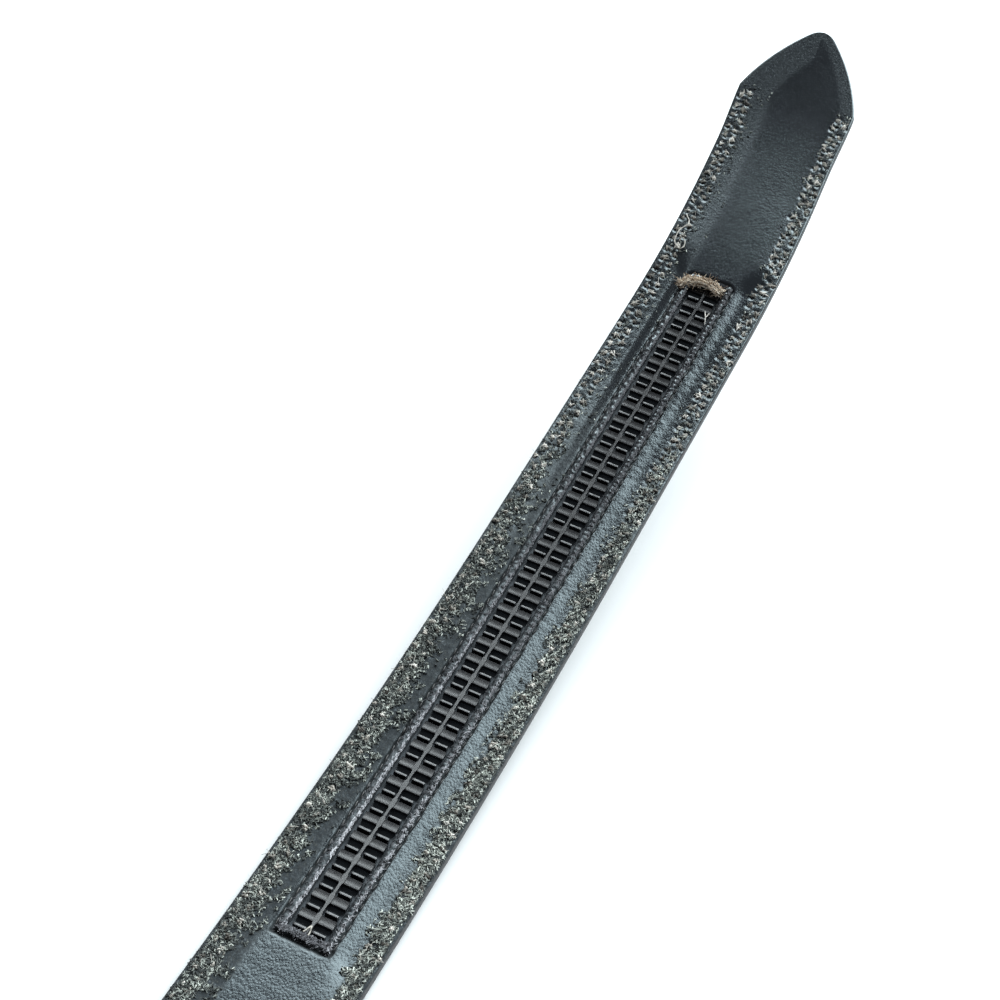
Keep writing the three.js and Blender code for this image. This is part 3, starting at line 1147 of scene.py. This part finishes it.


# %% [markdown]
# ## Finish of the track
#
# The plastic is black and half glossy. Its raised faces are rubbed by the pawl and mirror the
# window. Down in the pockets the floor of the track is matt, and its paler bluish grey is painted
# light, standing in for light reflected into them, which lets the teeth stand out against it.

# %% Track finish
mould_black = (0.006, 0.006, 0.008)
mould_dusty = (0.014, 0.014, 0.016)
# Painted light: the pocket floors are given a paler bluish grey that stands in for light reflected into
# them.
pocket_painted_light = (0.06, 0.072, 0.084)
pocket_low = track_floor - 0.3 * mm
pocket_high = track_floor + 0.2 * mm


def track_finish():
    finish = Finish("moulded_track_plastic", Specular_IOR_Level=0.62)
    grid = finish.strap_grid()
    mould = finish.noise(0.18 * mm, grid, 2.0)
    dust = finish.noise(1.7 * mm, grid, 4.0, 0.6)
    worn = 1 - finish.attribute("along").step(near_grain, far_grain)
    deep = 1 - finish.attribute("up").step(pocket_low, pocket_high)
    moulded = finish.blend(dust.step(0.45, 0.75), mould_black, mould_dusty)
    roughness = 0.15 + dust * 0.08 + worn * 0.05 + deep * 0.5
    # Below the track floor the colour turns to the painted light of the pockets.
    return finish.coat(finish.blend(deep, moulded, pocket_painted_light), roughness, mould, 0.006 * mm)


toothed_track().object("toothed_track", track_finish(), "track_plastic", ["ratchet_track"], 28)

# %% [markdown]
# ## The edge stitches
#
# Each stitch is a short piece of slack three-ply thread that comes out of one dent and goes into
# the next. The plies have opened and fluffed, so seen from arm's length a stitch is a small pale
# clump with two or three lobes. Drawing plies and stray fibres as thin tubes gives that look from
# any side, where a bump map would stay flat.

# %% Edge stitches
lobe_radius = 0.27 * mm
fibre_radius = 0.05 * mm
seen_counts = {"lobes": 6, "fibres": 7}
unseen_counts = {"lobes": 4, "fibres": 2}
clumps_open = (900 * mm, 1010 * mm)
thread_pales = (850 * mm, 1000 * mm)


def add_clump(heap, at, over, angle, size, tone, lobes, fibres):
    """One slack stitch at (at, over): short fat lobes of opened thread, and stray fibres."""
    ground = lining_up(np.array([at]), np.array([over]))[0]
    open_out = 1 + 0.55 * smooth(at, *clumps_open)
    t = np.linspace(-1, 1, 5)[:, None]
    for _ in range(lobes):
        way = angle + chance.normal(0, 0.75)
        ahead = np.array([math.cos(way), math.sin(way), 0])
        shift = np.array([*chance.normal(0, 0.34, 2), chance.uniform(0.05, 0.4)]) * mm * size
        length = chance.uniform(0.35, 0.7) * mm * size * open_out
        path = (at, over, ground) + shift + ahead * t * length - (0, 0, 0.22 * mm) * t**2
        round_out = np.sqrt(1.08 - t[:, 0] ** 2)
        swell = lobe_radius * size / open_out * chance.uniform(0.6, 1.15) * round_out
        heap.tube(path, swell, 5, tone + chance.normal(0, 0.12))
    s = np.linspace(0, 1, 4)[:, None]
    for _ in range(fibres):
        start = (at, over, ground + 0.25 * mm) + chance.normal(0, 0.3, 3) * mm * size
        away = chance.normal(0, 1, 3) * (1.0, 1.0, 0.35) + (0, 0, 0.2)
        reach = chance.uniform(0.35, 0.9) * mm * size
        path = start + (away * s + chance.normal(0, 0.4, 3) * s * s) * reach
        heap.tube(path, fibre_radius, 3, tone + 0.15)


def edge_thread(side):
    heap = Heap()
    for at, over, angle, size in edge_stitches[side]:
        paler = 0.15 * smooth(at, *thread_pales)
        tone = float(np.clip(chance.beta(2.0, 2.0) + paler, 0.08, 1.0))
        counts = seen_counts if at > visible_start else unseen_counts
        add_clump(heap, at, over, angle, size, tone, **counts)
    return heap


print("a stitch in view has", seen_counts, "and one past the picture's edge", unseen_counts)

# %% [markdown]
# ## Lint along the edges
#
# Between and beside the stitches the leather's flesh has come up as lint: thousands of short curled
# fibres, in clumps. Hair would be the usual tool, but it does not leave Blender as a mesh. So each
# fibre is a bent tube of three sides, scattered by chance and kept where two layers of noise are
# high. Three kinds, from thick and low to thin and tall, keep it from looking like fur.

# %% Places of the lint
fuzz_start = 720 * mm
fuzz_rise = 45 * mm
fuzz_kinds = table(
    "count length lift radius",
    (5600, 0.9, 0.25, 0.17),
    (4000, 0.8, 0.5, 0.125),
    (1500, 0.9, 0.6, 0.07),
)
fuzz_reach = {1: 10.5 * mm, -1: 6.6 * mm}
fuzz_light = {1: 0.95, -1: 1.3}
fuzz_thins = (850 * mm, 1000 * mm)
tries_for_each = 6


def column_of(numbers):
    """Numbers shaped so that they scale an array of paths (n, m, 3)."""
    return numbers[:, None, None]


def fuzz_places(count, side):
    """Places and insets for lint over the stitched band of one side, thickest where it is clumped."""
    tries = count * tries_for_each
    along = chance.uniform(fuzz_start, shoulder + 1 * mm, tries)
    inset = chance.uniform(0.75 * mm, fuzz_reach[side], tries)
    across = side * (half_width(along) - inset)
    clumped = value_noise(along, across, 2.3 * mm, 11) + 0.7 * value_noise(along, across, 0.9 * mm, 12)
    reach = reach_inward(along, across, fuzz_reach)
    wanted = 0.66 + 0.55 * clumped - 0.72 * smooth(inset, 3.8 * mm, 0.85 * reach) - 2 * (inset > reach)
    wanted = wanted * smooth(along, fuzz_start, fuzz_start + fuzz_rise)
    wanted = wanted * (1 - 0.95 * smooth(along, *fuzz_thins))
    taken = np.nonzero(wanted > chance.uniform(0, 1, tries))[0][:count]
    return along[taken], across[taken], inset[taken]


# %% Curled fibres
def fuzz_paths(kind, side):
    """Short curled paths, which lie along the strap at its very edge and any way further in."""
    along, across, inset = fuzz_places(kind["count"], side)
    count = len(along)
    t = np.linspace(-1, 1, 3)[None, :, None]
    way = chance.uniform(-0.5, 0.5, count) * math.pi * smooth(inset, 0.6 * mm, 1.8 * mm)
    ahead = np.stack([np.cos(way), np.sin(way), chance.normal(0, 0.12, count)], -1)[:, None]
    sideways = np.stack([-np.sin(way), np.cos(way), 0 * way], -1)[:, None]
    bend = sideways * column_of(chance.normal(0, 0.8, count))
    reach = kind["length"] * mm * column_of(chance.uniform(0.5, 1.3, count)) / 2
    up = lining_up(along, across) + kind["lift"] * mm * chance.uniform(0.1, 1, count)
    ground = np.stack([along, across, up], -1)[:, None]
    return ground + reach * (ahead * t + bend * t * t) - np.array([0, 0, 0.12 * mm]) * t * t


def edge_fuzz(side):
    heap = Heap()
    for kind in fuzz_kinds:
        paths = fuzz_paths(kind, side)
        thick = kind["radius"] * mm * chance.uniform(0.7, 1.3, len(paths))
        patch = value_noise(paths[:, 1, 0], paths[:, 1, 1], 1.7 * mm, 13)
        shade = chance.beta(0.8, 1.4, len(paths)) * (1 + 0.45 * patch)
        shade = shade + 0.08 * (kind["lift"] > 0.3)
        heap.fibres(paths, thick, np.clip(shade * fuzz_light[side], 0, 1))
    return heap


print("lint fibres on each side:", sum(kind["count"] for kind in fuzz_kinds), "at most")

# %% [markdown]
# ## Nap of the window's lip
#
# The lip is leather turned up on edge, so its flesh side shows as suede. In the photo it is a
# bright ragged line at the left inner edge and a row of beads on the right. Shorter fibres than
# the lint, laid mostly along the lip, give both. Each row of the table is one such stripe.

# %% Places of the nap
lip_fibres = 9500
nap_stripes = table(
    "side share reach spread turn bright",
    (1, 0.42, 0.3, 0.17, 0.25, 1.2),
    (1, 0.08, 1.2, 0.4, 0.9, 0.45),
    (-1, 0.34, 1.35, 0.2, 0.6, 1.05),
    (-1, 0.07, 0.6, 0.5, 0.9, 0.4),
    (0, 0.08, 1.0, 0.7, 1.5, 0.6),
)
nap_dims = (820 * mm, 950 * mm)


def nap_places(row):
    """Places for one stripe of nap: beside the window, or across its near end where side is 0."""
    count = int(row["share"] * lip_fibres)
    along = chance.uniform(window_start - near_lip * 0.9, window_end + 1 * mm, count)
    out = np.clip(chance.normal(row["reach"], row["spread"], count), 0.08, 1.8) * mm
    across = track_middle + row["side"] * (window_half + out)
    if row["side"] == 0:
        before = np.clip(chance.normal(row["reach"], row["spread"], count), 0.15, 2.4) * mm
        along = window_start - before
        across = track_middle + chance.uniform(-1, 1, count) * (window_half + 1.6 * mm)
    kept = value_noise(along, across, 0.8 * mm, 21) > chance.uniform(-0.9, 0.5, count)
    return along[kept], across[kept]


# %% Nap fibres
def window_nap():
    heap = Heap()
    t = np.linspace(-1, 1, 3)
    for row in nap_stripes:
        along, across = nap_places(row)
        count = len(along)
        way = chance.normal(0, row["turn"], count)[:, None]
        half = chance.uniform(0.25, 0.7, count)[:, None] * mm
        x, y = along[:, None] + half * np.cos(way) * t, across[:, None] + half * np.sin(way) * t
        z = lining_up(along, across)[:, None] + 0.07 * mm - 0.06 * mm * t * t + 0 * x
        dimmer = 1 - 0.55 * smooth(along, *nap_dims)
        shade = chance.beta(3, 2.4, count) * row["bright"] * dimmer
        heap.fibres(np.stack([x, y, z], -1), chance.uniform(0.06, 0.12, count) * mm, shade)
    return heap


print("nap fibres:", lip_fibres, "at most")

# %% [markdown]
# ## Finishes of thread, lint and nap
#
# Thread and lint have no shine of their own. A colour ramp turns the shade kept at each strand into
# a colour, from the dark of dyed fibres to the pale grey of bare ones, and a little noise keeps two
# neighbours from matching. All are rough, and the thread has a fine relief as well.

# %% Thread, lint and nap
def stops(*colours, at=(0.0, 0.35, 0.65, 1.0)):
    """Rows of (position, colour) for a ramp, from its darkest colour to its palest."""
    return list(zip(at, colours))


thread_ramp = stops(
    (0.05, 0.045, 0.04), (0.2, 0.185, 0.165), (0.45, 0.42, 0.375), (0.85, 0.81, 0.75))
lint_ramp = stops(
    (0.015, 0.017, 0.018), (0.07, 0.077, 0.074), (0.28, 0.3, 0.27), (0.72, 0.75, 0.68))
nap_ramp = stops(
    (0.02, 0.02, 0.023), (0.1, 0.1, 0.11), (0.33, 0.33, 0.35), (0.65, 0.65, 0.68))


def thread_finish(name, ramp, cell, darker, depth):
    """Matt thread whose strands are about one cell wide."""
    finish = Finish(name, Specular_IOR_Level=0.2)
    strands = finish.noise(cell, finish.strap_grid(), 3.0, 0.7)
    tone = finish.attribute("shade") + strands * 0.5 - darker
    return finish.coat(finish.ramp(tone, ramp), 0.95, strands, depth)


def fuzz_finish(name, ramp):
    finish = Finish(name, Roughness=0.8, Specular_IOR_Level=0.3)
    strands = finish.noise(0.3 * mm, finish.strap_grid(), 2.0)
    tone = finish.attribute("shade") * 0.85 + strands * 0.4 - 0.12
    finish.surface(Base_Color=finish.ramp(tone, ramp))
    return finish.material


thread = thread_finish("slack_grey_thread", thread_ramp, 0.22 * mm, 0.25, 0.08 * mm)
lint = fuzz_finish("greyish_lint", lint_ramp)
suede = fuzz_finish("raised_suede_nap", nap_ramp)
for side, word in ((1, "left"), (-1, "right")):
    edge_thread(side).object("edge_stitches_" + word, thread, "lining_leather", sharp_angle=80)
    edge_fuzz(side).object("edge_lint_" + word, lint, "lining_leather", sharp_angle=80)
window_nap().object("window_nap", suede, "lining_leather", sharp_angle=80)

# %% [markdown]
# ## The window stitches
#
# The groove round the lip is sewn with a finer black thread. It lies deep, so only broken glints of
# it show, but those glints are what makes the groove look sewn and not pressed. Part of the glint
# is painted: the left row is given a paler colour than the right.

# %% Window stitches
window_pitch = 3.1 * mm
window_stitch_half = 1.25 * mm
window_thread_radius = 0.19 * mm
wax_black = (0.01, 0.01, 0.012)
# The pale end is reached by ply noise and by the painted glint that pales the left row.
wax_ply_and_painted_glint = (0.06, 0.058, 0.058)


def window_thread():
    heap = Heap()
    reach = window_half + lip_width + 0.2 * mm
    t = np.linspace(-1, 1, 7)
    for side in (1, -1):
        for at in np.arange(window_start, window_end, window_pitch):
            over = track_middle + side * (reach + chance.normal(0, 0.1) * mm)
            along = at + t * window_stitch_half
            across = over + side * 0.12 * mm * t + chance.normal(0, 0.04) * mm
            up = lining_up(along, np.full(7, over)) + 0.16 * mm * (1 - 2.2 * t**4)
            thick = window_thread_radius * (1 - 0.3 * t * t)
            # Painted glint: the left row gets high shades and shows as light dashes, the right row low
            # ones and shows dark.
            shade = chance.uniform(0, 0.4) + 0.3 * side + 0.3
            heap.tube(np.column_stack([along, across, up]), thick, 6, shade)
    return heap


def black_thread_finish():
    finish = Finish("waxed_black_thread", Specular_IOR_Level=0.5)
    ply = finish.noise(0.25 * mm, finish.strap_grid(), 2.0)
    tone = finish.attribute("shade") * 0.6 + ply * 0.4
    return finish.coat(finish.blend(tone, wax_black, wax_ply_and_painted_glint), 0.4 + ply * 0.3, ply, 0.05 * mm)


window_thread().object("window_stitches", black_thread_finish(), "track_plastic", sharp_angle=80)

# %% [markdown]
# ## Frayed ends
#
# At the far end of the window the sewing thread was cut and left: its plies have opened into a tan
# tuft that arches over the border. A few more pale strands lie loose, one in a small loop on the
# left edge. They are drawn as short paths in strap measures and given fluff by chance.

# %% Routes of the loose strands
def strand(*rows):
    """A strand's chosen points in millimetres, along from the first tooth."""
    return table("along across lift", *rows)


tuft_arc = strand(
    (235.2, 6.9, 0),
    (237.0, 6.0, 0),
    (238.2, 4.0, 0),
    (238.7, 1.8, 0),
    (238.7, -0.6, 0),
    (238.4, -2.6, 0),
    (237.6, -3.9, 0),
)
loose_loop = strand(
    (262.0, 15.6, 0.3),
    (258.2, 13.6, 0.9),
    (254.0, 15.0, 1.4),
    (249.4, 14.7, 1.3),
    (247.4, 12.6, 1.0),
    (248.8, 11.6, 0.8),
    (251.0, 12.2, 0.9),
    (251.8, 13.4, 1.0),
    (250.6, 13.6, 0.7),
)
rib_fork = [
    strand((0.9, -0.45, 0.3), (-0.6, -0.1, 0.5), (-1.9, 0.25, 0.55)),
    strand((0.9, -0.45, 0.3), (-0.8, -0.95, 0.5), (-2.3, -1.15, 0.6)),
]
forked_fibre = [
    strand((223.5, -4.9, 0.3), (225.6, -4.2, 0.6), (227.8, -3.2, 0.6)),
    strand((225.6, -4.2, 0.6), (227.6, -4.6, 0.5)),
]


def eased(points, count):
    """A smooth path through a few chosen points (n, 3), by cubic steps between them."""
    points = np.asarray(points, float)
    slopes = np.gradient(points, axis=0)
    where = np.linspace(0, len(points) - 1 - 1e-9, count)
    i = where.astype(int)
    t = (where - i)[:, None]
    start = (2 * t**3 - 3 * t**2 + 1) * points[i] + (t**3 - 2 * t**2 + t) * slopes[i]
    return start + (3 * t**2 - 2 * t**3) * points[i + 1] + (t**3 - t**2) * slopes[i + 1]


def strap_path(rows, count):
    """A smooth path through a strand's points, lifted off the lining as far as they say."""
    flat = eased([[row["along"], row["across"], row["lift"]] for row in rows], count) * mm
    flat[:, 0] += first_tooth
    flat[:, 2] += lining_up(flat[:, 0], flat[:, 1])
    return flat


loop_steps = np.diff(strap_path(loose_loop, 60), axis=0)
print("the loose loop is", round(np.linalg.norm(loop_steps, axis=1).sum() / mm, 1), "mm long")

# %% Frayed tuft
tuft_steps = 40
tuft_strands = 22
tuft_fluff = 900
tan_ramp = stops(
    (0.14, 0.1, 0.07), (0.46, 0.35, 0.26), (0.75, 0.62, 0.49), (0.95, 0.88, 0.77),
    at=(0.0, 0.3, 0.6, 1.0))


def frayed_tuft():
    heap = Heap()
    arc = strap_path(tuft_arc, tuft_steps)
    arc += (-0.8 * mm, 0, 0.35 * mm)
    for _ in range(tuft_strands):
        wave = np.cumsum(chance.normal(0, 1, (tuft_steps, 3)), 0)
        wave = (wave - wave.mean(0)) / 6 * mm * (0.5, 0.45, 0.35)
        shift = chance.normal(0, 1, 3) * (0.55, 0.4, 0.35) * mm
        heap.tube(arc + wave + shift, chance.uniform(0.12, 0.28) * mm, 5, chance.uniform(0.3, 1.0))
    s = np.linspace(0, 1, 5)[:, None]
    for _ in range(tuft_fluff):
        root = arc[chance.integers(0, tuft_steps)] + chance.normal(0, 1, 3) * (0.6, 0.5, 0.4) * mm
        away = chance.normal(0, 1, 3) * (0.8, 1.3, 0.8) + (0.1, 0, 0.2)
        curl = chance.normal(0, 1.5, 3)
        reach = chance.uniform(0.25, 0.65) * mm
        shade = chance.beta(0.8, 0.8)
        path = root + (away * s + curl * s * s) * reach
        heap.tube(path, chance.uniform(0.06, 0.13) * mm, 3, shade)
    return heap


tan_thread = thread_finish("frayed_tan_thread", tan_ramp, 0.3 * mm, 0.3, 0.06 * mm)
frayed_tuft().object("frayed_tuft", tan_thread, "lining_leather", sharp_angle=80)


# %% Loose threads
fork_kinds = table(
    "routes start end shade",
    (rib_fork, 0.26, 0.14, 0.62),
    (forked_fibre, 0.12, 0.16, 0.95),
)


def loose_threads():
    heap = Heap()
    loop = strap_path(loose_loop, 60)
    for phase in (0, math.pi):
        turn = np.linspace(0, 26, 60) + phase
        wound = loop + np.column_stack([0 * turn, np.cos(turn), np.sin(turn)]) * 0.09 * mm
        heap.tube(wound, 0.13 * mm, 5, 0.75)
    for kind in fork_kinds:
        thick = np.linspace(kind["start"], kind["end"], 12) * mm
        for rows in kind["routes"]:
            heap.tube(strap_path(rows, 12), thick, 5, kind["shade"])
    return heap


loose_threads().object("loose_threads", thread, "lining_leather", sharp_angle=80)

# %% [markdown]
# ## The buckle
#
# The buckle lies beyond the picture's edge, so it stays plain: a cast block with a channel for the
# tail and a clamp for the strap's end. Its solid is copied, the points its faces share are merged,
# and a bevel rounds each sharp edge as tumbling does to a casting. Brushing leaves fine parallel
# scratches, which are noise drawn out along one direction.


# %% Buckle
zinc_dark = (0.36, 0.36, 0.37)
zinc_light = (0.46, 0.455, 0.45)
tumbled_width = 0.45 * mm


def brushed_finish():
    finish = Finish("brushed_zinc", Metallic=1.0)
    where = finish.add("TexCoord", output="Object")
    drawn = finish.add("Mapping", sockets={"Vector": where, "Scale": (0.03, 1.0, 1.0)})
    scratches = finish.noise(0.12 * mm, drawn, 4.0, 0.7)
    cloud = finish.noise(6 * mm, where, 2.0)
    roughness = 0.24 + scratches * 0.16 + cloud * 0.06
    return finish.coat(finish.blend(cloud, zinc_dark, zinc_light), roughness, scratches, 0.008 * mm)


def buckle_copy():
    """The frame's own buckle, with the points that its faces share merged."""
    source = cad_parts["buckle"].data
    points = np.array([vertex.co for vertex in source.vertices])
    keys, merged = np.unique(np.round(points, 7), axis=0, return_inverse=True)
    merged = merged.ravel()
    faces = [[int(merged[i]) for i in face.vertices] for face in source.polygons]
    mesh = bpy.data.meshes.new("ratchet_buckle")
    mesh.from_pydata(keys.tolist(), [], [face for face in faces if len(set(face)) > 2])
    return mesh


buckle = finish_piece(
    "ratchet_buckle", buckle_copy(), {}, brushed_finish(), "buckle_metal", ["buckle"], 30)
rounded = buckle.modifiers.new("tumbled_edges", "BEVEL")
rounded.width = tumbled_width
rounded.segments = 3
rounded.limit_method = "ANGLE"
rounded.angle_limit = math.radians(40)
rounded.harden_normals = False
